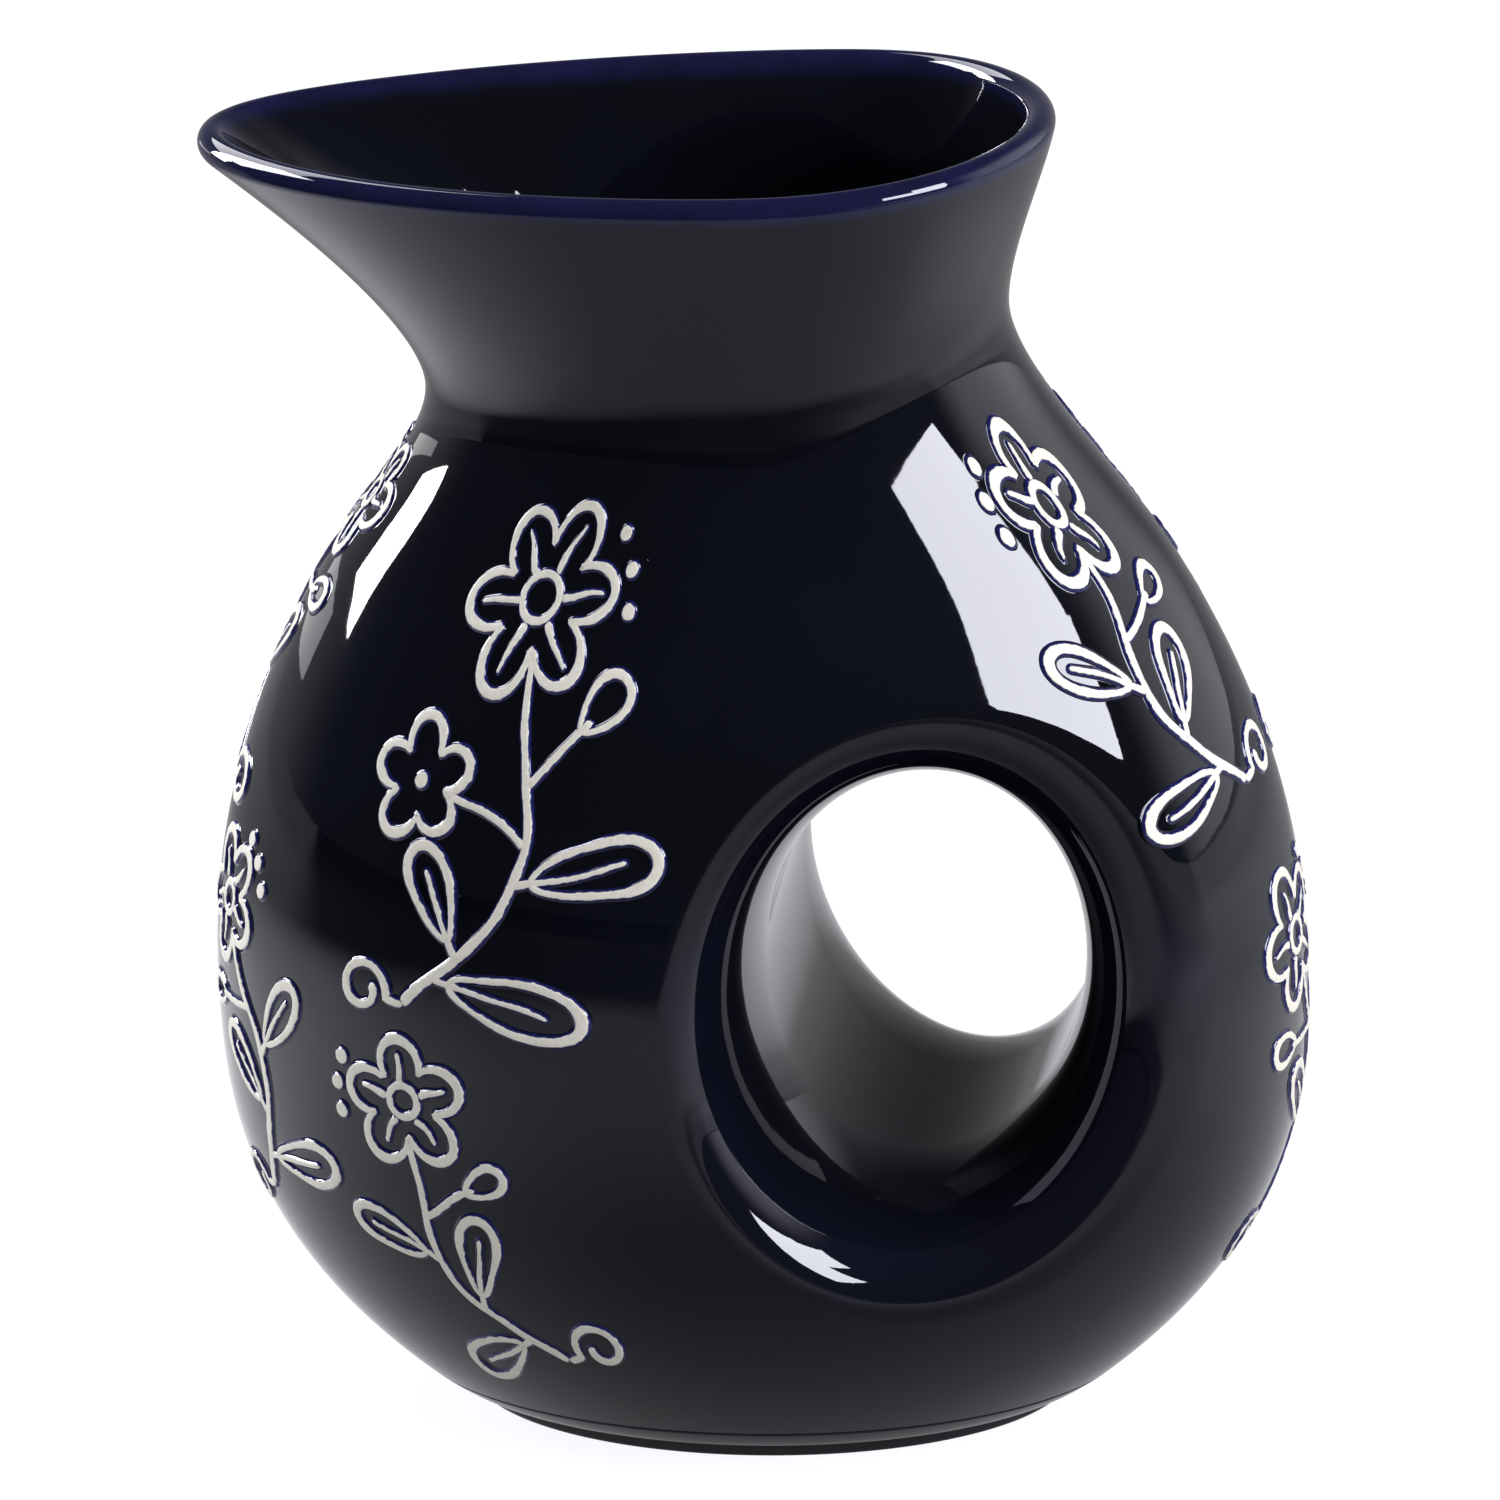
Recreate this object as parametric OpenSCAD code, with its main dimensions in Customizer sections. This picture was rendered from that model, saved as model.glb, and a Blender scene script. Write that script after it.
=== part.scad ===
// Puzzle jug: a dark glazed pitcher with a hand hole through its belly and raised floral sprays.
// Millimetres, +Z up. The foot stands on Z = 0, the spout points to -X, the hand hole runs along Y
// and -Y is the front of the photo.

/* [Overall] */
// Height of the lip at the back of the mouth
height = 218; // [170:1:280]
// Length of the belly from the spout side to the grip side
belly_length = 180; // [150:1:240]
// Depth of the belly from front to back
belly_depth = 130; // [112:1:190]
// Thickness of the fired wall
wall = 5; // [3.5:0.5:7]

/* [Neck and spout] */
// Neck radius at the back, above the grip
neck_back = 43; // [34:1:54]
// Neck radius under the spout
neck_front = 52; // [42:1:66]
// Neck width from front to back
neck_width = 82; // [68:1:104]
// Mouth radius at the back
mouth_back = 51; // [40:1:62]
// Reach of the spout tip from the jug's axis
spout_reach = 87; // [70:1:88]
// Mouth width from front to back
mouth_width = 92; // [74:1:114]
// Drop of the spout tip below the back of the mouth
spout_drop = 4; // [0:0.5:10]
// Shift of the mouth's widest place toward the grip
mouth_shift = 4; // [0:1:14]

/* [Hand hole] */
// Width of the hand hole at its throat
throat_width = 51; // [40:1:64]
// Width of the grip between the throat and the outside of the belly
grip_width = 34.5; // [30:0.5:42]
// Belly left between the flare and the shoulder seam
hole_margin = 9.3; // [6:0.1:20]
// Width of the rounded flare around the throat
flare = 18; // [12:1:22]
// Depth over which the flare narrows to the throat
flare_depth = 40; // [28:1:48]
// Drift of the flare toward the grip, where the belly falls away
flare_lean = 5; // [0:0.5:6]

/* [Foot] */
// Step from the belly's outline at the table in to the foot ring
foot_inset = 0.85; // [0:0.05:8]
// Width of the foot ring's band
foot_band = 8; // [5:0.5:12]
// Height of the foot ring
foot_height = 2; // [1.5:0.5:5]
// Thickness of the floor
floor_thick = 5; // [4:0.5:8]

/* [Relief] */
// Width of a trailed line
bead_width = 1.7; // [1.4:0.1:2]
// Height of a trailed line above the wall
bead_height = 0.8; // [0.5:0.1:1.5]

/* [Fits] */
// Width of the luted seam between two clay pieces
seam = 0.1; // [0.05:0.05:0.3]

/* [Hidden] */
glaze = [0.05, 0.06, 0.16];
bare_clay = [0.80, 0.75, 0.68];
// Half sizes of the belly and its depth as a share of its length
half_length = belly_length / 2;
flat_share = belly_depth / belly_length;
// Heights of the belly's widest place, the shoulder seam, the two neck waists and the hole's axis
wide_z = height * 0.34;
shoulder_z = height * 0.66;
waist_back_z = height * 0.852;
waist_front_z = height * 0.795;
hole_z = height * 0.379;
// The lip's half round stands on the upper edge of the neck's two faces
lip_z = height - wall / 2;
// Belly radius where its outline meets the table and where the shoulder begins
toe_radius = half_length * 0.565;
shoulder_radius = half_length * 0.768;
toe_power = 2.7;
shoulder_power = 2;
floor_z = foot_height + floor_thick;
// Half sizes of the throat and of the mouth where the flare meets the belly, and their offsets
throat_x = throat_width / 2;
rim_x = throat_x + flare;
rim_z = shoulder_z - hole_z - hole_margin;
throat_z = rim_z - flare;
hole_offset = half_length - grip_width - throat_x;
rim_offset = hole_offset + flare_lean;
// Clear border between the flare and the belly's regular grid, and a step for slopes
border = hole_margin * 0.465;
step_share = 0.001;
// Grid counts: columns across the hole, the grip and the spout side, and rows below, beside and above it
hole_cols = 10;
grip_cols = 8;
spout_cols = 20;
low_rows = 2;
hole_rows = 9;
high_rows = 1;
patch_rows = 2;
neck_rows = 8;
lip_rows = 4;
flare_rows = 5;
ring_cols = 40;

// Outline of the belly: two power curves that meet at its widest place
function belly_r(z) = z < wide_z
    ? half_length - (half_length - toe_radius) * pow((wide_z - z) / wide_z, toe_power)
    : half_length
        - (half_length - shoulder_radius) * pow((z - wide_z) / (shoulder_z - wide_z), shoulder_power);
function belly_slope(z) = z < wide_z
    ? toe_power * (half_length - toe_radius) / wide_z * pow((wide_z - z) / wide_z, toe_power - 1)
    : -shoulder_power * (half_length - shoulder_radius) / (shoulder_z - wide_z)
        * pow((z - wide_z) / (shoulder_z - wide_z), shoulder_power - 1);
function belly_point(a, z) = [belly_r(z) * cos(a), flat_share * belly_r(z) * sin(a), z];
// Half depth of the belly under a place seen from the front
function belly_y(x, z) = flat_share * sqrt(max(0, pow(belly_r(z), 2) - x * x));
function unit(v) = v / norm(v);
// Outward direction of the belly at a point on it
function belly_normal(p) = let (r = belly_r(p[2]))
    unit([p[0] / (r * r), p[1] / pow(flat_share * r, 2), -belly_slope(p[2]) / r]);

// Cubic curve over four values
function cubic(p, t) = pow(1 - t, 3) * p[0] + 3 * t * pow(1 - t, 2) * p[1]
    + 3 * t * t * (1 - t) * p[2] + t * t * t * p[3];
function smooth(t) = t * t * (3 - 2 * t);
// Neck curves as radius and height, from the shoulder seam to the waist and on to the lip
lead = (waist_back_z + waist_front_z - 2 * shoulder_z) / 6;
start = [shoulder_radius, shoulder_z];
start_lead = start + [belly_slope(shoulder_z), 1] * lead;
back_low = [start, start_lead, [neck_back, waist_back_z - lead], [neck_back, waist_back_z]];
front_low = [start, start_lead, [neck_front, waist_front_z - lead * 0.75], [neck_front, waist_front_z]];
spout_z = lip_z - spout_drop;
back_high = [[neck_back, waist_back_z], [neck_back, waist_back_z * 0.7 + lip_z * 0.3],
    [mouth_back * 0.75 + neck_back * 0.25, lip_z * 0.72 + waist_back_z * 0.28], [mouth_back, lip_z]];
front_high = [[neck_front, waist_front_z], [neck_front, waist_front_z * 0.7 + spout_z * 0.3],
    [spout_reach * 0.68 + neck_front * 0.32, spout_z * 0.78 + waist_front_z * 0.22], [spout_reach, spout_z]];
side_low = [flat_share * shoulder_radius, flat_share * start_lead[0], neck_width / 2, neck_width / 2];
side_high = [neck_width / 2, neck_width / 2, mouth_width * 0.34 + neck_width * 0.16, mouth_width / 2];
function back_curve(t) = t < 1 ? cubic(back_low, t) : cubic(back_high, t - 1);
function front_curve(t) = t < 1 ? cubic(front_low, t) : cubic(front_high, t - 1);
function side_curve(t) = t < 1 ? cubic(side_low, t) : cubic(side_high, t - 1);
// Egg plan: a smooth stand-in for the size of cos(a), 0 at the sides and 1 at both ends
blunt = 0.25;
function ends(a) = (sqrt(pow(cos(a), 2) + blunt * blunt) - blunt) / (sqrt(1 + blunt * blunt) - blunt);
function neck_point(a, t) = let (b = back_curve(t), f = front_curve(t), c = mouth_shift * smooth(t / 2))
    [c + (b[0] + f[0]) / 2 * cos(a) + (b[0] - f[0] - 2 * c) / 2 * ends(a), side_curve(t) * sin(a),
        (b[1] + f[1]) / 2 + (b[1] - f[1]) / 2 * cos(a)];
// A point moved along the surface's normal; turn and rise are neighbours counter-clockwise and above
function moved(p, turn, rise, d) = p + unit(cross(turn - p, rise - p)) * d;
function neck_moved(a, t, d) = moved(neck_point(a, t), neck_point(a + 360 * step_share, t),
    neck_point(a, t + step_share), d);
// The outer face of the belly and shoulder for a direction and a height
function skin_point(a, z) = z < shoulder_z ? belly_point(a, z)
    : neck_point(a, (z - shoulder_z) * 2 / (waist_back_z + waist_front_z - 2 * shoulder_z));
function skin_moved(a, z, d) = moved(skin_point(a, z), skin_point(a + 360 * step_share, z),
    skin_point(a, z + height * step_share), d);

// Triangles of a quad listed clockwise from outside
function quad(a, b, c, d) = [[a, b, c], [a, c, d]];
// Closed solid from rings that follow each other around and join end to start
module ring_solid(rows) {
    n = len(rows);
    m = len(rows[0]);
    polyhedron([for (r = rows) each r], [for (i = [0:n - 1]) for (j = [0:m - 1])
        each quad(i * m + j, (i + 1) % n * m + j, (i + 1) % n * m + (j + 1) % m, i * m + (j + 1) % m)],
        convexity = 8);
}
// Closed solid from rings stacked from a first end point to a last one
module stack_solid(first, rows, last) {
    n = len(rows);
    m = len(rows[0]);
    polyhedron(concat([for (r = rows) each r], [first, last]), concat(
        [for (i = [0:n - 2]) for (j = [0:m - 1])
            each quad(i * m + j, (i + 1) * m + j, (i + 1) * m + (j + 1) % m, i * m + (j + 1) % m)],
        [for (j = [0:m - 1]) [n * m, j, (j + 1) % m]],
        [for (j = [0:m - 1]) [n * m + 1, (n - 1) * m + (j + 1) % m, (n - 1) * m + j]]),
        convexity = 8);
}

// Belly: a regular grid of directions and heights, with a block left open around each mouth of the
// hole and filled by rows that run from the block's edge to the flare
right_a = acos((rim_offset + rim_x + border) / half_length);
left_a = acos((rim_offset - rim_x - border) / half_length);
function spread(from, to, n) = [for (i = [0:n - 1]) from + (to - from) * i / n];
belly_a = concat(spread(-left_a, -right_a, hole_cols), spread(-right_a, right_a, grip_cols),
    spread(right_a, left_a, hole_cols), spread(left_a, 360 - left_a, spout_cols));
belly_z = concat(spread(floor_z + seam, hole_z - rim_z - border, low_rows),
    spread(hole_z - rim_z - border, hole_z + rim_z + border, hole_rows),
    spread(hole_z + rim_z + border, shoulder_z, high_rows), [shoulder_z]);
cols = len(belly_a);
rows = len(belly_z);
// Corners of a block's edge, counter-clockwise from outside, as column and row
function block_edge(first) = concat(
    [for (j = [0:hole_cols - 1]) [first + j, low_rows]],
    [for (i = [0:hole_rows - 1]) [first + hole_cols, low_rows + i]],
    [for (j = [0:hole_cols - 1]) [first + hole_cols - j, low_rows + hole_rows]],
    [for (i = [0:hole_rows - 1]) [first, low_rows + hole_rows - i]]);
front_edge = block_edge(0);
back_edge = block_edge(hole_cols + grip_cols);
edge_count = len(front_edge);
// Direction around the hole's axis of a place on the belly, on the flare's oval
function hole_angle(p) = atan2((p[2] - hole_z) / rim_z, (p[0] - rim_offset) / rim_x);
function edge_point(e) = belly_point(belly_a[e[0]], belly_z[e[1]]);
function patch_point(e, share, side) = let (p = edge_point(e), f = hole_angle(p),
    x = (rim_offset + (rim_x + seam) * cos(f)) * (1 - share) + p[0] * share,
    z = (hole_z + (rim_z + seam) * sin(f)) * (1 - share) + p[2] * share) [x, side * belly_y(x, z), z];
belly_grid = [for (z = belly_z) for (a = belly_a) belly_point(a, z)];
function patch(edge, side) = [for (l = [0:patch_rows - 1]) for (e = edge)
    patch_point(e, l / patch_rows, side)];
belly_outer = concat(belly_grid, patch(front_edge, -1), patch(back_edge, 1));
count = len(belly_outer);
function in_block(i, j) = i >= low_rows && i < low_rows + hole_rows
    && (j < hole_cols || (j >= hole_cols + grip_cols && j < 2 * hole_cols + grip_cols));
function patch_id(base, edge, l, k) = let (q = k % edge_count)
    l < patch_rows ? base + l * edge_count + q : edge[q][1] * cols + edge[q][0] % cols;
function patch_faces(base, edge) = [for (l = [0:patch_rows - 1]) for (k = [0:edge_count - 1])
    each quad(patch_id(base, edge, l, k), patch_id(base, edge, l, k + 1),
        patch_id(base, edge, l + 1, k + 1), patch_id(base, edge, l + 1, k))];
front_base = rows * cols;
back_base = front_base + patch_rows * edge_count;
skin_faces = concat(
    [for (i = [0:rows - 2]) for (j = [0:cols - 1]) if (!in_block(i, j))
        each quad(i * cols + j, (i + 1) * cols + j,
            (i + 1) * cols + (j + 1) % cols, i * cols + (j + 1) % cols)],
    patch_faces(front_base, front_edge), patch_faces(back_base, back_edge));
// Walls that close the edges between the outer and the inner face
function edge_wall(a, b) = quad(b, a, a + count, b + count);
belly_walls = concat(
    [for (j = [0:cols - 1]) each edge_wall((rows - 1) * cols + j, (rows - 1) * cols + (j + 1) % cols)],
    [for (j = [0:cols - 1]) each edge_wall((j + 1) % cols, j)],
    [for (b = [front_base, back_base]) for (k = [0:edge_count - 1])
        each edge_wall(b + k, b + (k + 1) % edge_count)]);

module belly() {
    color(glaze)
        polyhedron(concat(belly_outer, [for (p = belly_outer) p - belly_normal(p) * wall]),
            concat(skin_faces, [for (f = skin_faces) [f[2] + count, f[1] + count, f[0] + count]],
                belly_walls),
            convexity = 10);
}

// Neck and spout: outer face up, half round over the lip, inner face down in every second row
function ring(f) = [for (j = [0:ring_cols - 1]) f(360 * j / ring_cols)];
neck_start = seam / (waist_back_z - shoulder_z);
neck_t = [for (i = [0:2 * neck_rows]) neck_start + (2 - neck_start) * i / (2 * neck_rows)];
function lip_point(a, turn) = let (o = neck_point(a, 2), i = neck_moved(a, 2, -wall),
    up = unit(neck_point(a, 2) - neck_point(a, 2 - step_share)))
    (o + i) / 2 + (o - i) / 2 * cos(turn) + up * wall / 2 * sin(turn);
module neck_spout() {
    color(glaze)
        ring_solid(concat(
            [for (t = neck_t) ring(function (a) neck_point(a, t))],
            [for (k = [1:lip_rows - 1]) ring(function (a) lip_point(a, 180 * k / lip_rows))],
            [for (i = [0:2:2 * neck_rows])
                ring(function (a) neck_moved(a, neck_t[2 * neck_rows - i], -wall))]));
}

// Hand tunnel: the flare leaves the belly's face, turns a quarter oval into the throat and runs straight
// through. s is 0 at the throat's middle, 1 where the flare begins and 2 at the mouth.
function tunnel_point(f, s, side) = let (w = max(0, s - 1) * 90,
    grow = (flare - seam) * (1 - cos(w)),
    x = hole_offset + flare_lean * (1 - cos(w)) + (throat_x + grow) * cos(f),
    z = hole_z + (throat_z + grow) * sin(f),
    y = belly_y(x, z) - flare_depth * (1 - sin(w))) [x, side * y * min(1, s), z];
function tunnel_moved(f, s, side, d) = moved(tunnel_point(f, s, side),
    tunnel_point(f + 360 * step_share, s, side), tunnel_point(f, s - step_share, side), -side * d);
tunnel_s = concat([0, 0.5], [for (i = [0:flare_rows]) 1 + i / flare_rows]);
tunnel_f = [for (e = front_edge) hole_angle(edge_point(e))];
last_s = len(tunnel_s) - 1;
// Rows from the front mouth through the middle to the back mouth, as s and side
tunnel_rows = concat([for (i = [0:last_s - 1]) [tunnel_s[last_s - i], -1]], [for (s = tunnel_s) [s, 1]]);
module hand_tunnel() {
    n = len(tunnel_rows) - 1;
    color(glaze)
        ring_solid(concat(
            [for (i = [0:n]) let (r = tunnel_rows[n - i]) [for (f = tunnel_f) tunnel_point(f, r[0], r[1])]],
            [for (i = [0:2:n]) let (r = tunnel_rows[i])
                [for (f = tunnel_f) tunnel_moved(f, r[0], r[1], -wall)]]));
}

// Floor: a slab whose rounded edge carries the belly's outline on down to the foot
floor_r = belly_r(floor_z);
turn_r = floor_r - belly_slope(floor_z) * floor_thick;
foot_r = toe_radius - foot_inset;
function floor_curve(t) = [pow(1 - t, 2) * foot_r + 2 * t * (1 - t) * turn_r + t * t * floor_r,
    foot_height + seam + (floor_thick - seam) * t * t];
function oval(r, z) = [for (j = [0:ring_cols - 1])
    [r * cos(360 * j / ring_cols), flat_share * r * sin(360 * j / ring_cols), z]];
edge_rows = 4;
module floor_disc() {
    color(glaze)
        stack_solid([0, 0, foot_height + seam],
            [for (i = [0:edge_rows]) let (p = floor_curve(i / edge_rows)) oval(p[0], p[1])],
            [0, 0, floor_z]);
}

// Foot ring: the bare band that the jug stands on
module foot_ring() {
    color(bare_clay)
        ring_solid([oval(foot_r, 0), oval(foot_r, foot_height), oval(foot_r - foot_band, foot_height),
            oval(foot_r - foot_band, 0)]);
}

// Relief. A spray is drawn in its own plane, across and up in shares of its length, and laid on the
// skin. A line is a ridge: two base edges on the skin and a crest. The largest spray's length follows
// the plain skin from the hole's border round to the spout, or the height where that leaves less room.
plain_a = 180 - left_a;
plain_share = 0.654;
height_share = 0.386;
spray_length = min(half_length * plain_a * PI / 180 * plain_share, height * height_share);
function plain(share) = left_a + plain_a * share;
function laid(spot, q) = let (r = belly_r(min(spot[1], shoulder_z)),
    wide = sqrt(pow(sin(spot[0]), 2) + pow(flat_share * cos(spot[0]), 2)))
    [spot[0] + q[0] / (r * wide) * 180 / PI, spot[1] + q[1]];
function turned(q, a) = [q[0] * cos(a) - q[1] * sin(a), q[0] * sin(a) + q[1] * cos(a)];
function on_skin(spot, q, d) = let (g = laid(spot, turned(q, spot[2]))) skin_moved(g[0], g[1], d);
function beside(a, b, d) = let (t = b - a) [-t[1], t[0]] / norm(t) * d;
function ridge(spot, before, q, after) = let (s = beside(before, after, bead_width / 2))
    [on_skin(spot, q - s, seam), on_skin(spot, q + s, seam), on_skin(spot, q, bead_height)];
module closed_line(spot, pts) {
    n = len(pts);
    ring_solid([for (i = [0:n - 1]) ridge(spot, pts[(i + n - 1) % n], pts[i], pts[(i + 1) % n])]);
}
module open_line(spot, pts) {
    n = len(pts) - 1;
    ridges = [for (i = [0:n]) ridge(spot, pts[max(0, i - 1)], pts[i], pts[min(n, i + 1)])];
    lift = (seam + bead_height) / 2;
    stack_solid(on_skin(spot, pts[0], lift), ridges, on_skin(spot, pts[n], lift));
}
// Places along a spray's stem, a slow bend from its foot to its flower, and the stem's direction there
function stem(size, hand, t) = size * [hand * (0.085 * sin(250 * t - 30) - 0.02), 0.66 * t - 0.5];
function stem_a(size, hand, t) = let (d = stem(size, hand, t + step_share) - stem(size, hand, t - step_share))
    atan2(d[1], d[0]);
// Direction of what leaves the stem, turned to the left of it, and a place out along that direction
function twig_a(size, hand, t, turn) = stem_a(size, hand, t) + hand * turn;
function on_twig(size, hand, t, turn, out) = stem(size, hand, t)
    + turned([out, 0], twig_a(size, hand, t, turn));
// Motifs: petals in one lobed line that begins at a notch, a ring, a leaf outline, and a curl
function petals(m, r, n, a0, per) = [for (k = [0:per * n - 1]) let (a = 360 * k / (per * n))
    m + r * (0.5 + 0.5 * pow(abs(sin(n * a / 2)), 0.75)) * [cos(a + a0), sin(a + a0)]];
function round_line(m, r, n) = [for (k = [0:n - 1]) m + r * [cos(360 * k / n), sin(360 * k / n)]];
function leaf(m, size, wide, a) = [for (k = [0:9]) let (w = 36 * k)
    m + turned([size * (1 - cos(w)) / 2, wide * sin(w) * (1 - 0.34 * cos(w))], a)];
function curl(m, r, a, hand) = [for (k = [0:9]) let (w = 400 * k / 9, s = r * (1 - 0.66 * k / 9))
    m + turned([r - s * cos(w), -hand * s * sin(w)], a)];
module ribbed_leaf(spot, m, size, a) {
    closed_line(spot, leaf(m, size, size * 0.2, a));
    open_line(spot, [m + turned([size * 0.36, 0], a), m + turned([size * 0.76, 0], a)]);
}
module dot(spot, m) {
    stack_solid(on_skin(spot, m, seam),
        [[for (q = round_line(m, bead_width * 0.7, 6)) on_skin(spot, q, seam)]],
        on_skin(spot, m, bead_height));
}
// The flower at the stem's end: petals, an eye and one vein for each petal, with three dots beside it
module flower(spot, m, r, n, a, hand) {
    eye = r * 0.243;
    closed_line(spot, petals(m, r, n, a + 180, 5));
    closed_line(spot, round_line(m, eye, 8));
    for (k = [1:n]) let (v = a + 180 / n * (2 * k - 1) + 180)
        open_line(spot, [m + turned([eye + bead_width * 1.25, 0], v),
            m + turned([r - bead_width * 1.6, 0], v)]);
    for (k = [0:2]) dot(spot, m + turned([r + bead_width * 1.5, 0], a - hand * (60 + 20 * k)));
}
// A smaller blossom on a bent twig
module side_blossom(spot, size, hand, clear) {
    from = on_twig(size, hand, blossom_shares[0], blossom_shares[1], clear);
    a = twig_a(size, hand, blossom_shares[0], blossom_shares[1]);
    to = from + turned(size * [0.12, hand * 0.02], a);
    r = size * 0.115;
    end_a = a + hand * 22;
    m = to + turned([r / 2 + clear * 1.35, 0], end_a);
    open_line(spot, [from, from + turned(size * [0.06, -hand * 0.005], a), to]);
    closed_line(spot, petals(m, r, 5, end_a + 180, 4));
    dot(spot, m);
}
module bud(spot, size, hand, clear, shares) {
    a = twig_a(size, hand, shares[0], shares[1]);
    from = on_twig(size, hand, shares[0], shares[1], clear);
    to = from + turned([size * 0.07, 0], a);
    open_line(spot, [from, to]);
    closed_line(spot, leaf(to + turned([clear, 0], a), size * 0.13, size * 0.036, a));
}
// One spray: s holds its direction, height share, length share, lean, hand, petals and 1 for a side blossom.
// Its lines stand clear of each other.
module spray(s) {
    spot = [s[0], s[1] * height, s[3]];
    size = spray_length * s[2];
    hand = s[4];
    clear = bead_width * 1.7;
    top_a = stem_a(size, hand, 1);
    bloom_r = size * 0.185;
    open_line(spot, [for (k = [0:8]) stem(size, hand, k / 8)]);
    bloom = stem(size, hand, 1) + turned([bloom_r / 2 + clear * 1.5, 0], top_a);
    flower(spot, bloom, bloom_r, s[5], top_a, hand);
    for (l = s[6] == 1 ? full_leaf_shares : leaf_shares)
        ribbed_leaf(spot, on_twig(size, hand, l[0], l[1], clear), size * l[2],
            twig_a(size, hand, l[0], l[1]));
    if (s[6] == 1) side_blossom(spot, size, hand, clear);
    bud(spot, size, hand, clear, s[6] == 1 ? full_bud_shares : bud_shares);
    open_line(spot, curl(on_twig(size, hand, 0, curl_turn, clear), bead_width * 2.9,
        twig_a(size, hand, 0, curl_turn), hand));
}
// Leaves as place along the stem, turn from it and length, then the places of the other motifs on the stem
full_leaf_shares = [[0.12, -58, 0.25], [0.20, 70, 0.19], [0.46, -54, 0.24]];
leaf_shares = [[0.14, -58, 0.27], [0.34, 60, 0.25], [0.60, -56, 0.24]];
blossom_shares = [0.58, 58];
full_bud_shares = [0.74, -52];
bud_shares = [0.78, 58];
curl_turn = 122;
// Direction, height share, length share, lean, hand, petals and side blossom of each spray
front_upper_shares = [-plain(0.17), 0.565, 1.00, -16, 1, 6, 1];
front_lower_shares = [-plain(0.305), 0.215, 0.72, 30, -1, 5, 0];
flank_front_shares = [-plain(0.67), 0.335, 0.70, 6, 1, 5, 0];
spout_shares = [plain(1), 0.635, 0.70, 0, -1, 5, 0];
shoulder_front_shares = [-28, 0.63, 0.70, 22, -1, 5, 0];
grip_shares = [0, 0.29, 0.76, 0, 1, 5, 0];
shoulder_back_shares = [29, 0.63, 0.70, -20, 1, 5, 0];
flank_back_shares = [plain(0.67), 0.335, 0.70, -8, -1, 5, 0];
back_upper_shares = [plain(0.18), 0.565, 1.00, 14, -1, 5, 1];
back_lower_shares = [plain(0.305), 0.21, 0.74, -26, 1, 5, 0];
module spray_front_upper() { color(bare_clay) spray(front_upper_shares); }
module spray_front_lower() { color(bare_clay) spray(front_lower_shares); }
module spray_flank_front() { color(bare_clay) spray(flank_front_shares); }
module spray_spout() { color(bare_clay) spray(spout_shares); }
module spray_shoulder_front() { color(bare_clay) spray(shoulder_front_shares); }
module spray_grip() { color(bare_clay) spray(grip_shares); }
module spray_shoulder_back() { color(bare_clay) spray(shoulder_back_shares); }
module spray_flank_back() { color(bare_clay) spray(flank_back_shares); }
module spray_back_upper() { color(bare_clay) spray(back_upper_shares); }
module spray_back_lower() { color(bare_clay) spray(back_lower_shares); }

belly();
neck_spout();
hand_tunnel();
floor_disc();
foot_ring();
spray_front_upper();
spray_front_lower();
spray_flank_front();
spray_spout();
spray_shoulder_front();
spray_grip();
spray_shoulder_back();
spray_flank_back();
spray_back_upper();
spray_back_lower();
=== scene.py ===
import bpy
import numpy as np
from mathutils import Matrix


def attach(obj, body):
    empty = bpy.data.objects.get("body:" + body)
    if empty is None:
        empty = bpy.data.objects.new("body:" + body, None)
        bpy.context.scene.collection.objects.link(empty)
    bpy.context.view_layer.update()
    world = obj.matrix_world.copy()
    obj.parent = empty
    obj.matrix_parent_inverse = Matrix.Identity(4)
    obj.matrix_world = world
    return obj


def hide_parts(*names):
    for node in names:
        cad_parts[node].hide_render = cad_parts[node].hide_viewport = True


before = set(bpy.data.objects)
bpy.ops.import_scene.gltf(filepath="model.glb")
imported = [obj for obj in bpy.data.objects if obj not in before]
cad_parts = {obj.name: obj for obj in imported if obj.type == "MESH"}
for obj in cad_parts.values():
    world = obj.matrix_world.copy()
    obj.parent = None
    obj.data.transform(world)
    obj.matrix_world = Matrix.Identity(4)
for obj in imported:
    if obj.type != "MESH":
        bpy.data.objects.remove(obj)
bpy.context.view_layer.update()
print("frame loaded,", len(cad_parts), "nodes")


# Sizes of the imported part, in metres or as shares, with counts of columns and rows and the blue tints
jug = {"height": 0.218, "length": 0.180, "depth": 0.130, "wall": 0.005}
belly = {"wide": 0.34, "shoulder": 0.66, "toe": 0.565, "shoulderRadius": 0.768,
         "toePower": 2.7, "shoulderPower": 2.0, "bottom": 0.007, "border": 0.0043,
         "holeColumns": 84, "gripColumns": 44, "spoutColumns": 130,
         "lowRows": 14, "holeRows": 72, "highRows": 10, "patchRows": 8}
hole = {"throat": 0.051, "grip": 0.0345, "margin": 0.0093, "height": 0.379,
        "flare": 0.018, "flareDepth": 0.040, "lean": 0.005, "flareRows": 26, "throatRows": 22,
        "blue": 0.04, "bluePlace": 1.62, "blueSpread": 0.16}

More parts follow.
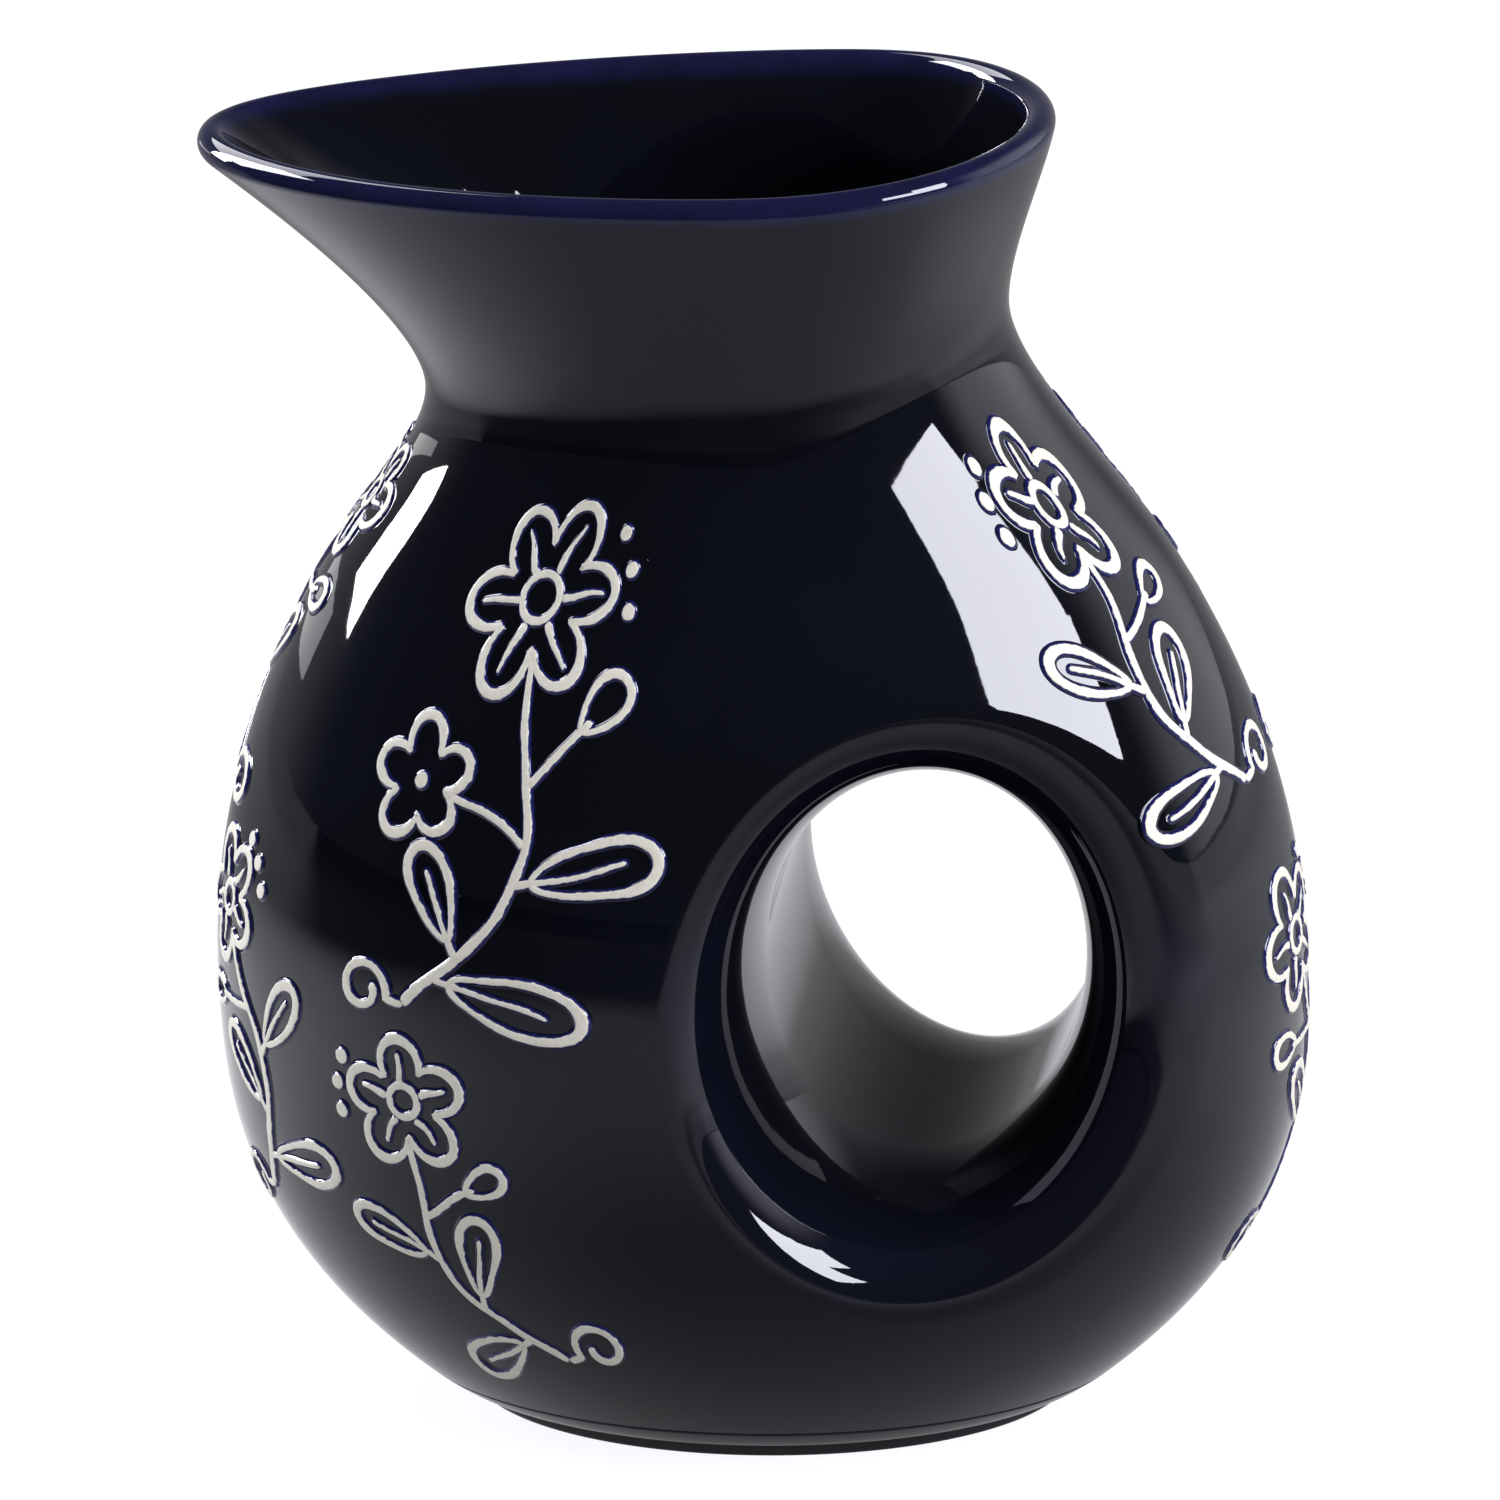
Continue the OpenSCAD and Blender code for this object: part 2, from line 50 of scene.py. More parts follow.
halfLength = jug["length"] / 2
flat = jug["depth"] / jug["length"]
wideZ, shoulderZ = jug["height"] * belly["wide"], jug["height"] * belly["shoulder"]
holeZ = jug["height"] * hole["height"]
toeRadius, shoulderRadius = halfLength * belly["toe"], halfLength * belly["shoulderRadius"]
throatX = hole["throat"] / 2
rimX, rimZ = throatX + hole["flare"], shoulderZ - holeZ - hole["margin"]
throatZ = rimZ - hole["flare"]
holeX = halfLength - hole["grip"] - throatX
rimOffset = holeX + hole["lean"]


def unit(v):  # vectors of length one
    return v / np.linalg.norm(v, axis=-1, keepdims=True)


def between(first, second, share):  # the first value where share is 0, the second where it is 1
    return first * (1 - share) + second * share


def spread(first, last, count):  # even steps that stop short of the last value
    return np.linspace(first, last, count, endpoint=False)


def around(count):  # even steps round a full turn
    return spread(0, 2 * np.pi, count)


def heading(w):  # (cos, sin)
    return np.stack([np.cos(w), np.sin(w)], -1)


def facing(surface, u, v, du=1e-4, dv=1e-4):  # normals as the cross product of two short steps
    return unit(np.cross(surface(u + du, v) - surface(u - du, v), surface(u, v + dv) - surface(u, v - dv)))


def fromWidest(z):  # shares of the way down to the floor and up to the shoulder, zero on the other side
    return np.clip((wideZ - z) / wideZ, 0, None), np.clip((z - wideZ) / (shoulderZ - wideZ), 0, None)


def bellyRadius(z):  # two power curves of the height that meet at the widest place
    low, high = fromWidest(z)
    return (halfLength - (halfLength - toeRadius) * low ** belly["toePower"]
            - (halfLength - shoulderRadius) * high ** belly["shoulderPower"])


def bellySlope(z):  # rate of the radius with height
    low, high = fromWidest(z)
    lowRate = belly["toePower"] * (halfLength - toeRadius) / wideZ
    highRate = belly["shoulderPower"] * (halfLength - shoulderRadius) / (shoulderZ - wideZ)
    return lowRate * low ** (belly["toePower"] - 1) - highRate * high ** (belly["shoulderPower"] - 1)


def bellyPoint(angle, z):  # (r cos, flat r sin, z)
    angle, z = np.broadcast_arrays(angle, z)
    return np.stack([bellyRadius(z) * np.cos(angle), flat * bellyRadius(z) * np.sin(angle), z], -1)


def bellyDepth(x, z):  # half depth of the belly under a place seen from the front
    return flat * np.sqrt(np.clip(bellyRadius(z) ** 2 - x ** 2, 0, None))


def bellyNormal(p):  # gradient of x^2/r^2 + y^2/(flat r)^2
    r = bellyRadius(p[..., 2])
    return unit(np.stack([p[..., 0] / r ** 2, p[..., 1] / (flat * r) ** 2, -bellySlope(p[..., 2]) / r], -1))


# Neck: three cubic curves of radius and height, at the back, at the spout and at the sides, in an egg plan
neck = {"back": 0.043, "front": 0.052, "width": 0.082,
        "mouthBack": 0.051, "reach": 0.087, "mouthWidth": 0.092,
        "drop": 0.004, "shift": 0.004, "backWaist": 0.852, "frontWaist": 0.795, "blunt": 0.25,
        "rise": 0.3, "frontLead": 0.75, "backFlare": (0.75, 0.72), "spoutFlare": (0.68, 0.78),
        "rows": 60, "lipRows": 14, "lipStep": 0.001, "blue": 0.45, "blueOutside": 0.035, "blueInside": 0.05}
lipZ = jug["height"] - jug["wall"] / 2
spoutZ = lipZ - neck["drop"]
backZ, frontZ = jug["height"] * neck["backWaist"], jug["height"] * neck["frontWaist"]
lead = (backZ + frontZ - 2 * shoulderZ) / 6
start = np.array([shoulderRadius, shoulderZ])
startLead = start + np.array([float(bellySlope(shoulderZ)), 1.0]) * lead


def lowCurve(waist, waistZ, waistLead):  # corners from the shoulder's slope to the upright waist
    return np.array([start, startLead, [waist, waistZ - waistLead], [waist, waistZ]])


def highCurve(waist, waistZ, mouth, mouthZ, flare):  # corners from the upright waist out to the lip
    return np.array([[waist, waistZ], [waist, between(waistZ, mouthZ, neck["rise"])],
                     [between(waist, mouth, flare[0]), between(waistZ, mouthZ, flare[1])], [mouth, mouthZ]])


backLow = lowCurve(neck["back"], backZ, lead)
backHigh = highCurve(neck["back"], backZ, neck["mouthBack"], lipZ, neck["backFlare"])
frontLow = lowCurve(neck["front"], frontZ, lead * neck["frontLead"])
frontHigh = highCurve(neck["front"], frontZ, neck["reach"], spoutZ, neck["spoutFlare"])
halfWidth, halfMouth = neck["width"] / 2, neck["mouthWidth"] / 2
sideLow = np.array([flat * shoulderRadius, flat * startLead[0], halfWidth, halfWidth])
sideHigh = np.array([halfWidth, halfWidth, between(halfWidth, halfMouth, neck["spoutFlare"][0]), halfMouth])


def cubic(p, t):  # Bernstein sum over four values
    t = np.asarray(t)[..., None] if p.ndim == 2 else np.asarray(t)
    return (1 - t) ** 3 * p[0] + 3 * t * (1 - t) ** 2 * p[1] + 3 * t ** 2 * (1 - t) * p[2] + t ** 3 * p[3]


def curve(low, high, t):  # one cubic up to the waist, the next one up to the lip
    below = t < 1
    return np.where(below[..., None] if low.ndim == 2 else below, cubic(low, t), cubic(high, t - 1))


def neckPoint(angle, t):  # t is 0 at the shoulder seam, 1 at the waist and 2 at the lip
    angle, t = np.broadcast_arrays(np.asarray(angle, float), np.asarray(t, float))
    b, f, side = curve(backLow, backHigh, t), curve(frontLow, frontHigh, t), curve(sideLow, sideHigh, t)
    shift = neck["shift"] * (t / 2) ** 2 * (3 - t)
    k = neck["blunt"]
    ends = (np.sqrt(np.cos(angle) ** 2 + k * k) - k) / (np.sqrt(1 + k * k) - k)
    x = shift + (b[..., 0] + f[..., 0]) / 2 * np.cos(angle) + (b[..., 0] - f[..., 0] - 2 * shift) / 2 * ends
    z = (b[..., 1] + f[..., 1]) / 2 + (b[..., 1] - f[..., 1]) / 2 * np.cos(angle)
    return np.stack([x, side * np.sin(angle), z], -1)


def lipPoint(angle, turn):  # half round from the outer edge over the top to the inner edge
    outer, normal = neckPoint(angle, 2.0), facing(neckPoint, angle, 2.0)
    up = unit(outer - neckPoint(angle, 2.0 - neck["lipStep"]))
    half = jug["wall"] / 2
    return outer - normal * half * (1 - np.cos(turn)[..., None]) + up * half * np.sin(turn)[..., None]


# Tunnel: s is 0 at the throat's middle, 1 where the flare begins and 2 at a mouth
def tunnelPoint(f, s):  # an oval ring whose size follows a quarter oval along the flare
    f, s = np.broadcast_arrays(np.asarray(f, float), np.asarray(s, float))
    w = np.clip(np.abs(s) - 1, 0, None) * np.pi / 2
    grow = hole["flare"] * (1 - np.cos(w))
    x = holeX + hole["lean"] * (1 - np.cos(w)) + (throatX + grow) * np.cos(f)
    z = holeZ + (throatZ + grow) * np.sin(f)
    y = (bellyDepth(x, z) - hole["flareDepth"] * (1 - np.sin(w))) * np.clip(np.abs(s), 0, 1) * np.sign(s)
    return np.stack([x, y, z], -1)


def gridFaces(rows, cols, wrapRows=False):  # quads between neighbouring rows and columns that close round
    i = np.arange(rows if wrapRows else rows - 1)[:, None]
    j = np.arange(cols)[None]
    low, high = i * cols, (i + 1) % rows * cols
    return np.stack(np.broadcast_arrays(low + j, low + (j + 1) % cols, high + (j + 1) % cols, high + j), -1)


def outward(points, faces):  # faces turned so that the signed volume about the points' middle is positive
    a, b, c, d = (points[faces[:, k]] - points.mean(0) for k in range(4))
    volume = np.sum(np.cross(b - a, c - a) * a + np.cross(c - a, d - a) * a)
    return faces if volume > 0 else faces[:, ::-1]


# One closed mesh with its finish; a mark holds one number for each point
def makePiece(name, points, faces, normals, slot, nodes, material, **marks):
    used, faces = np.unique(faces, return_inverse=True)  # points inside the open blocks belong to no face
    points, faces = points.reshape(-1, 3)[used], faces.reshape(-1, 4)
    corners = [list(dict.fromkeys(row)) for row in outward(points, faces).tolist()]  # a doubled corner goes
    mesh = bpy.data.meshes.new(name)
    mesh.from_pydata(points.tolist(), [], corners)
    mesh.shade_smooth()
    if normals is not None:
        mesh.normals_split_custom_set_from_vertices(normals.reshape(-1, 3)[used].tolist())
    for key, values in marks.items():
        layer = mesh.attributes.new(key, "FLOAT", "POINT")
        layer.data.foreach_set("value", np.ravel(values)[used].astype(np.float32))
    mesh.materials.append(material)
    piece = bpy.data.objects.new(name, mesh)
    bpy.context.scene.collection.objects.link(piece)
    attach(piece, "root")
    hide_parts(*nodes)
    print(name, len(points), "points,", len(faces), "faces")


# Finishes: a scale counts a pattern's waves in a metre, two or four numbers are a ramp's ends,
# and a bump is its strength and its height in metres
glaze = {"deep": (0.0024, 0.0026, 0.0040, 1), "blue": (0.0030, 0.0036, 0.0078, 1),
         "thin": (0.014, 0.013, 0.082, 1), "halo": (0.013, 0.015, 0.115, 1),
         "speck": (0.16, 0.18, 0.30, 1), "sheen": (0.88, 0.89, 1.0, 1), "ior": 1.52,
         "roughness": 0.030, "roughScale": 40.0, "rough": (0.3, 0.7, 0.7, 1.3),
         "driftScale": 22.0, "drift": (0.35, 0.75), "streakScale": 160.0, "streak": (0.3, 0.7, 0.6, 1.0),
         "speckScale": 210.0, "speckSize": (0.030, 0.018), "fewScale": 95.0, "few": (0.62, 0.66),
         "waveScale": 55.0, "peelScale": 850.0, "peel": 0.035, "bump": (0.05, 0.0010)}
clay = {"pale": (0.69, 0.67, 0.61, 1), "dark": (0.55, 0.525, 0.465, 1), "roughness": 0.85,
        "mottleScale": 240.0, "mottle": (0.3, 0.7), "grainScale": 1800.0, "bump": (0.4, 0.0003)}
slip = {"roughness": 0.58, "raggedScale": 800.0, "ragged": (0.25, 0.75, -0.12, 0.12),
        "shows": (0.03, -0.07), "haloReach": (0.50, 0.0),
        "mottleScale": 900.0, "mottle": (0.3, 0.7, 0.25, 1.0),
        "paleScale": 130.0, "pale": (0.35, 0.7, 0.0, 0.6),
        "grainScale": 1500.0, "bump": (0.3, 0.0002)}


def newMaterial(name):  # a material with its node tree and its shader
    material = bpy.data.materials.new(name)
    material.use_nodes = True
    return material, material.node_tree, material.node_tree.nodes["Principled BSDF"]


def feed(tree, socket, value):  # another node's output is linked, a plain value is set
    if isinstance(value, bpy.types.NodeSocket):
        tree.links.new(value, socket)
    else:
        socket.default_value = value


def addNode(tree, kind, inputs=None, **settings):  # a node with its settings made and its inputs fed
    node = tree.nodes.new(kind)
    for key, value in settings.items():
        setattr(node, key, value)
    for key, value in (inputs or {}).items():
        feed(tree, node.inputs[key], value)
    return node


def blendColour(tree, share, first, second):  # first where share is 0, second where it is 1
    node = addNode(tree, "ShaderNodeMix", {"Factor": share}, data_type="RGBA")
    feed(tree, node.inputs[6], first)
    feed(tree, node.inputs[7], second)
    return node.outputs[2]


def ramp(tree, value, low, high, toLow=0.0, toHigh=1.0, kind="LINEAR"):  # low to high becomes toLow to toHigh
    ends = {"Value": value, "From Min": low, "From Max": high, "To Min": toLow, "To Max": toHigh}
    return addNode(tree, "ShaderNodeMapRange", ends, interpolation_type=kind).outputs["Result"]


def combine(tree, operation, first, second):  # a sum, difference or product of two values
    return addNode(tree, "ShaderNodeMath", {0: first, 1: second}, operation=operation).outputs[0]


def noise(tree, place, scale, detail=3.0):  # cloudy values about one half
    inputs = {"Vector": place, "Scale": scale, "Detail": detail}
    return addNode(tree, "ShaderNodeTexNoise", inputs).outputs["Fac"]


def mark(tree, name):  # the number that a piece keeps for each point
    return addNode(tree, "ShaderNodeAttribute", attribute_name=name).outputs["Fac"]


def objectPlace(tree):  # the place on a piece, in metres
    return addNode(tree, "ShaderNodeTexCoord").outputs["Object"]


def addBump(tree, shader, height, strength, distance):  # the normal tilts with the height's slope
    bump = addNode(tree, "ShaderNodeBump", {"Height": height, "Strength": strength, "Distance": distance})
    tree.links.new(bump.outputs["Normal"], shader.inputs["Normal"])


def addGloss(shader):  # the glass layer's strength and its tint
    shader.inputs["IOR"].default_value = glaze["ior"]
    shader.inputs["Specular Tint"].default_value = glaze["sheen"]


def glazeColour(tree, place):  # dark cobalt that drifts between near black and navy, with sparse pale specks
    drift = ramp(tree, noise(tree, place, glaze["driftScale"]), *glaze["drift"])
    body = blendColour(tree, drift, glaze["deep"], glaze["blue"])
    cells = addNode(tree, "ShaderNodeTexVoronoi", {"Vector": place, "Scale": glaze["speckScale"]})
    dot = ramp(tree, cells.outputs["Distance"], *glaze["speckSize"])
    few = ramp(tree, noise(tree, place, glaze["fewScale"], detail=1.0), *glaze["few"])
    return blendColour(tree, combine(tree, "MULTIPLY", dot, few), body, glaze["speck"])


def makeGlaze():  # thin is 1 where the glaze has run off an edge and shows bluer
    material, tree, shader = newMaterial("cobaltGlaze")
    place = objectPlace(tree)
    streak = ramp(tree, noise(tree, place, glaze["streakScale"]), *glaze["streak"])
    thin = combine(tree, "MULTIPLY", mark(tree, "thin"), streak)
    colour = blendColour(tree, thin, glazeColour(tree, place), glaze["thin"])
    tree.links.new(colour, shader.inputs["Base Color"])
    low, high, least, most = glaze["rough"]
    rough = ramp(tree, noise(tree, place, glaze["roughScale"]), low, high,
                 glaze["roughness"] * least, glaze["roughness"] * most)
    tree.links.new(rough, shader.inputs["Roughness"])
    addGloss(shader)
    peel = combine(tree, "MULTIPLY", noise(tree, place, glaze["peelScale"], detail=1.0), glaze["peel"])
    height = combine(tree, "ADD", noise(tree, place, glaze["waveScale"], detail=2.0), peel)
    addBump(tree, shader, height, *glaze["bump"])
    return material


def makeSlip():  # edge is the distance from the crest's edge in millimetres, below zero on the crest
    material, tree, shader = newMaterial("creamSlip")
    place = objectPlace(tree)
    stray = ramp(tree, noise(tree, place, slip["raggedScale"], detail=2.0), *slip["ragged"])
    ragged = combine(tree, "ADD", mark(tree, "edge"), stray)
    show = ramp(tree, ragged, *slip["shows"])
    mottle = ramp(tree, noise(tree, place, slip["mottleScale"]), *slip["mottle"])
    body = blendColour(tree, mottle, clay["dark"], clay["pale"])
    pale = ramp(tree, noise(tree, place, slip["paleScale"]), *slip["pale"])
    body = blendColour(tree, pale, body, clay["pale"])
    rim = blendColour(tree, ramp(tree, ragged, *slip["haloReach"]), glazeColour(tree, place), glaze["halo"])
    tree.links.new(blendColour(tree, show, rim, body), shader.inputs["Base Color"])
    rough = ramp(tree, show, 0.0, 1.0, glaze["roughness"], slip["roughness"])
    tree.links.new(rough, shader.inputs["Roughness"])
    addGloss(shader)
    grain = combine(tree, "MULTIPLY", show, noise(tree, place, slip["grainScale"], detail=2.0))
    addBump(tree, shader, grain, *slip["bump"])
    return material


def makeClay():  # bare is 1 where the glaze was wiped off
    material, tree, shader = newMaterial("bareClay")
    place = objectPlace(tree)
    bare = mark(tree, "bare")
    mottle = ramp(tree, noise(tree, place, clay["mottleScale"], detail=5.0), *clay["mottle"])
    body = blendColour(tree, mottle, clay["dark"], clay["pale"])
    tree.links.new(blendColour(tree, bare, glazeColour(tree, place), body), shader.inputs["Base Color"])
    rough = ramp(tree, bare, 0.0, 1.0, glaze["roughness"], clay["roughness"])
    tree.links.new(rough, shader.inputs["Roughness"])
    grain = combine(tree, "MULTIPLY", bare, noise(tree, place, clay["grainScale"]))
    addBump(tree, shader, grain, *clay["bump"])
    return material


cobaltGlaze, creamSlip, bareClay = makeGlaze(), makeSlip(), makeClay()
print("finishes made")


# Columns and rows of the belly: even steps, with a block left open around each mouth of the hole
rightEdge = np.arccos((rimOffset + rimX + belly["border"]) / halfLength)
leftEdge = np.arccos((rimOffset - rimX - belly["border"]) / halfLength)
columns = np.concatenate([spread(-leftEdge, -rightEdge, belly["holeColumns"]),
                          spread(-rightEdge, rightEdge, belly["gripColumns"]),
                          spread(rightEdge, leftEdge, belly["holeColumns"]),
                          spread(leftEdge, 2 * np.pi - leftEdge, belly["spoutColumns"])])
lowEdge, highEdge = holeZ - rimZ - belly["border"], holeZ + rimZ + belly["border"]
heights = np.concatenate([spread(belly["bottom"], lowEdge, belly["lowRows"]),
                          spread(lowEdge, highEdge, belly["holeRows"]),
                          spread(highEdge, shoulderZ, belly["highRows"]), [shoulderZ]])
across, up, low = belly["holeColumns"], belly["holeRows"], belly["lowRows"]
ringColumn = np.concatenate([np.arange(across), np.full(up, across),
                             across - np.arange(across), np.zeros(up, int)])
ringRow = low + np.concatenate([np.zeros(across, int), np.arange(up),
                                np.full(across, up), up - np.arange(up)])


def holeAngle(p):  # direction on the flare's oval
    return np.arctan2((p[..., 2] - holeZ) / rimZ, (p[..., 0] - rimOffset) / rimX)


def bellySkin():  # two walls, each a grid with a ring of faces around both mouths of the hole
    cols, rows = len(columns), len(heights)
    grid = bellyPoint(columns[None], heights[:, None])
    kept = np.ones((rows - 1, cols), bool)
    faces, points, count = [], [grid.reshape(-1, 3)], rows * cols
    walls = [(count - cols + np.arange(cols))[::-1], np.arange(cols)]
    share = spread(0, 1, belly["patchRows"])[:, None]  # 0 on the mouth's oval, 1 on the block's edge
    for first, side in ((0, -1), (across + belly["gripColumns"], 1)):
        kept[low:low + up, first:first + across] = False
        edgeIds = ringRow * cols + (first + ringColumn) % cols
        edge = grid[ringRow, (first + ringColumn) % cols]
        f = holeAngle(edge)
        x = between(rimOffset + rimX * np.cos(f), edge[:, 0], share)
        z = between(holeZ + rimZ * np.sin(f), edge[:, 2], share)
        points.append(np.stack([x, side * bellyDepth(x, z), z], -1).reshape(-1, 3))
        ids = np.concatenate([count + np.arange(x.size).reshape(x.shape), edgeIds[None]])
        turn = np.roll(ids, -1, 1)
        faces.append(np.stack([ids[:-1], ids[1:], turn[1:], turn[:-1]], -1).reshape(-1, 4))
        walls.append(ids[0][::-1])
        count += x.size
    faces.insert(0, gridFaces(rows, cols)[kept])
    outer, faces = np.concatenate(points), np.concatenate(faces)
    normals = bellyNormal(outer)
    closing = [np.stack([w, w + count, np.roll(w, -1) + count, np.roll(w, -1)], -1) for w in walls]
    makePiece("bellySkin", np.concatenate([outer, outer - normals * jug["wall"]]),
              np.concatenate([faces, faces[:, ::-1] + count, *closing]), np.concatenate([normals, -normals]),
              "cobalt_glaze", ["belly"], cobaltGlaze, thin=np.zeros(2 * count))


def neckSkin():  # outer wall, lip and inner wall in one closed round
    angle, t = columns[None], np.linspace(0, 2, neck["rows"])[:, None]
    turn = np.linspace(0, np.pi, neck["lipRows"] + 2)[1:-1, None]
    outer, normal = neckPoint(angle, t), facing(neckPoint, angle, t)
    angles, turns = np.broadcast_arrays(angle, turn)
    lip, lipNormal = lipPoint(angles, turns), facing(lipPoint, angles, turns)
    inner = (outer - normal * jug["wall"])[::-1]
    points = np.concatenate([outer, lip, inner])
    near = np.concatenate([np.exp(-((2 - t) / neck["blueOutside"]) ** 2), np.ones_like(turn),
                           np.exp(-((2 - t[::-1]) / neck["blueInside"]) ** 2)])
    makePiece("neckSkin", points, gridFaces(len(points), len(columns), wrapRows=True),
              np.concatenate([normal, lipNormal, -normal[::-1]]), "cobalt_glaze", ["neck_spout"], cobaltGlaze,
              thin=np.broadcast_to(near * neck["blue"], points.shape[:2]))


def tunnelSkin():  # throat and both flares, with the wall's other side behind them
    f = holeAngle(bellyPoint(columns[ringColumn], heights[ringRow]))[None]
    bend = np.linspace(1, 2, hole["flareRows"])
    s = np.concatenate([-bend[::-1], np.linspace(-1, 1, hole["throatRows"])[1:-1], bend])[:, None]
    points, normal = tunnelPoint(f, s), facing(tunnelPoint, f, s)  # toward the open throat
    mouths = np.abs(s) == 2
    normal = np.where(mouths[..., None], bellyNormal(points), normal)
    both = np.concatenate([points, (points - normal * jug["wall"])[::-1]])
    glow = hole["blue"] * np.exp(-((np.abs(s) - hole["bluePlace"]) / hole["blueSpread"]) ** 2)
    makePiece("tunnelSkin", both, gridFaces(len(both), f.shape[1], wrapRows=True),
              np.concatenate([normal, -normal[::-1]]), "cobalt_glaze", ["hand_tunnel"], cobaltGlaze,
              thin=np.broadcast_to(np.concatenate([glow, np.zeros_like(glow)]), both.shape[:2]))


foot = {"radius": 0.050, "band": 0.008, "height": 0.002, "round": 0.0007, "gap": 0.0001, "glazed": 0.6,
        "edgeRows": 12, "discRows": 8, "discMiddle": 0.001, "bandRows": 32}


def oval(r, z):  # ring of the belly's plan at each radius and height
    r, z = np.asarray(r, float)[:, None], np.asarray(z, float)[:, None]
    return np.stack(np.broadcast_arrays(r * np.cos(columns), flat * r * np.sin(columns), z + 0 * columns), -1)


def floorSkin():  # slab whose rounded edge is a quadratic curve from the foot to the belly's outline
    t = np.linspace(0, 1, foot["edgeRows"])
    top = float(bellyRadius(belly["bottom"]))
    turn = top - float(bellySlope(belly["bottom"])) * (belly["bottom"] - foot["height"])
    r = (1 - t) ** 2 * foot["radius"] + 2 * t * (1 - t) * turn + t ** 2 * top
    z = foot["height"] + foot["gap"] + (belly["bottom"] - foot["height"] - foot["gap"]) * t ** 2
    share = np.linspace(foot["discMiddle"], 1, foot["discRows"])
    points = np.concatenate([oval(share[:-1] * foot["radius"], np.full(len(share) - 1, z[0])), oval(r, z),
                             oval(share[-2::-1] * top, np.full(len(share) - 1, z[-1]))])
    makePiece("floorSkin", points, gridFaces(len(points), len(columns), wrapRows=True), None,
              "cobalt_glaze", ["floor_disc"], cobaltGlaze, thin=np.zeros(points.shape[:2]))


def footBand():  # rectangle with rounded lower corners carried round the foot's oval, glazed outside
    w = around(foot["bandRows"]) + np.pi / foot["bandRows"]
    corner = np.sign(heading(w))
    half = np.array([foot["band"], foot["height"]]) / 2
    middle = np.array([foot["radius"] - half[0], half[1]])
    bend = np.where(corner[:, 1] > 0, foot["gap"], foot["round"])[:, None]
    profile = middle + corner * (half - bend) + bend * heading(w)
    points = oval(profile[:, 0], profile[:, 1])
    bare = (profile[:, 0] < foot["radius"] - foot["round"] * foot["glazed"]).astype(float)
    makePiece("footBand", points, gridFaces(len(points), len(columns), wrapRows=True), None,
              "bare_clay", ["foot_ring"], bareClay, bare=np.broadcast_to(bare[:, None], points.shape[:2]))


bellySkin()
neckSkin()
tunnelSkin()
floorSkin()
footBand()
print("jug made")


# Relief: each spray is drawn in its own plane, then laid on the skin along the girth and the height
relief = {"width": 0.0017, "crest": 0.0016, "height": 0.0005, "skirt": 0.0006, "sink": 0.0003,
          "step": 0.0005, "fewest": 6, "smoothings": 2, "probe": (2e-4, 2e-5), "rim": 0.99, "span": 0.654,
          "rounding": 0.00022, "edgeDrop": 0.16, "hollow": 2.2, "clear": 1.7, "dot": 0.8, "dotColumns": 26,
          "stray": 0.00022, "thicken": 0.11, "waves": (0.026, 0.013, 0.0075), "phases": (1.0, 2.3, 3.1),
          "seedStep": 1.7}
crestShares = np.array([-1, -0.8, -0.4, 0, 0.4, 0.8, 1])  # of the half width, from side to side
dotShares = np.array([0.3, 0.6, 0.82, 0.92, 1.0])  # of a dot's radius, from its middle out
skirtShares = np.array([0.12, 0.32, 0.62, 1.0])  # of the skirt, from the crest out
acrossCrest = np.pad(crestShares, len(skirtShares), mode="edge")
acrossSkirt = np.concatenate([-skirtShares[::-1], 0 * crestShares, skirtShares])


def plain(share):  # direction at a share of the plain skin, from the hole's border round to the spout
    return np.degrees(leftEdge + (np.pi - leftEdge) * share)


sprayKeys = ("direction", "height", "length", "lean", "hand", "petals", "full")  # full has a side blossom
sprays = {"front_upper": (-plain(0.17), 0.565, 1.00, -16, 1, 6, True),
          "front_lower": (-plain(0.305), 0.215, 0.72, 30, -1, 5, False),
          "flank_front": (-plain(0.67), 0.335, 0.70, 6, 1, 5, False),
          "spout": (plain(1), 0.635, 0.70, 0, -1, 5, False),
          "shoulder_front": (-28, 0.63, 0.70, 22, -1, 5, False),
          "grip": (0, 0.29, 0.76, 0, 1, 5, False),
          "shoulder_back": (29, 0.63, 0.70, -20, 1, 5, False),
          "flank_back": (plain(0.67), 0.335, 0.70, -8, -1, 5, False),
          "back_upper": (plain(0.18), 0.565, 1.00, 14, -1, 5, True),
          "back_lower": (plain(0.305), 0.21, 0.74, -26, 1, 5, False)}
sprayLength = halfLength * (np.pi - leftEdge) * relief["span"]


def skinPoint(angle, z):  # belly below the shoulder seam, neck above it
    t = (z - shoulderZ) * 2 / (backZ + frontZ - 2 * shoulderZ)
    onBelly = bellyPoint(angle, np.minimum(z, shoulderZ))
    return np.where((z < shoulderZ)[..., None], onBelly, neckPoint(angle, np.maximum(t, 0)))


def turned(q, degrees):  # places turned about the plane's origin
    a, q = np.radians(degrees), np.asarray(q, float)
    return np.stack([q[..., 0] * np.cos(a) - q[..., 1] * np.sin(a),
                     q[..., 0] * np.sin(a) + q[..., 1] * np.cos(a)], -1)


def layOn(spot, q, lift):  # place in the spray's plane and height above the skin
    angle0, z0 = np.radians(spot["direction"]), spot["height"] * jug["height"]
    girth = np.sqrt(np.sin(angle0) ** 2 + (flat * np.cos(angle0)) ** 2)
    reach = bellyRadius(min(z0, shoulderZ)) * girth
    q = turned(q, spot["lean"])
    angle, z = angle0 + q[..., 0] / reach, z0 + q[..., 1]
    normal = facing(skinPoint, angle, z, *relief["probe"])
    return skinPoint(angle, z) + normal * lift[..., None], normal


